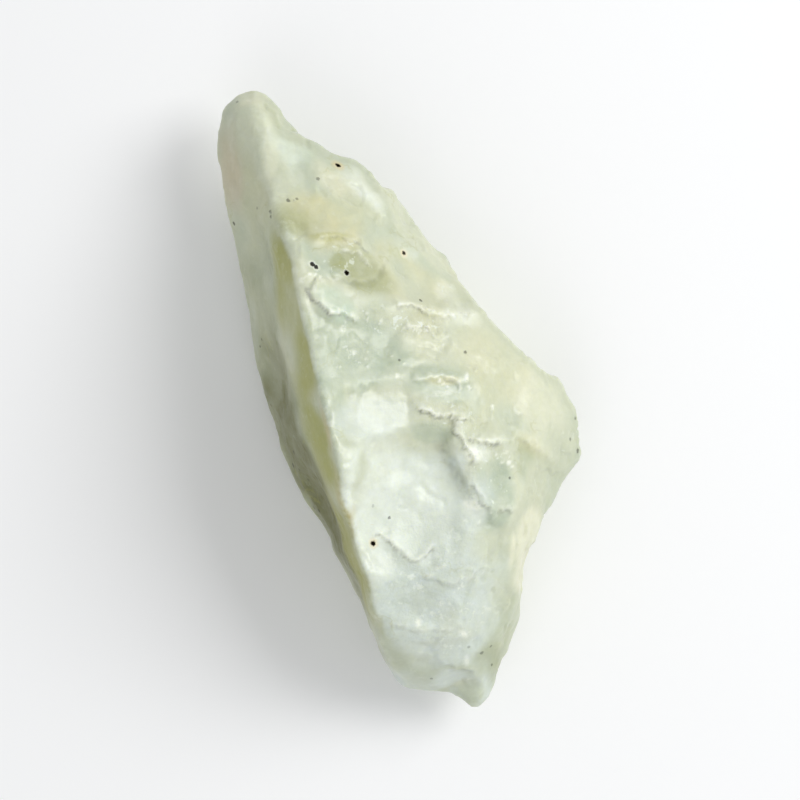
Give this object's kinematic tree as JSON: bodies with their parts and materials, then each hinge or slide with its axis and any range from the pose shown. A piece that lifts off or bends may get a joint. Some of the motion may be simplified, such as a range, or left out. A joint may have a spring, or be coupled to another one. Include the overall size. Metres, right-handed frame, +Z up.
{
  "type": "rough serpentine stone",
  "caption": "Pale green rough serpentine, a broken wedge of stone with a sharp crest, hollow scars and small ledges, lying on a flat of its underside.",
  "frame": {"origin": "middle of the bounding box, on the level of the flat that the stone rests on", "axes": "+Z up, away from the rest face; +Y along the stone, towards its narrow tip; +X across it, towards its broad lobe"},
  "size_m": [0.028, 0.0472, 0.017],
  "materials": {
    "stone": "waxy broken surface, slightly translucent at thin edges"
  },
  "bodies": {
    "root": {"serpentine_stone": "stone"}
  },
  "joints": []
}
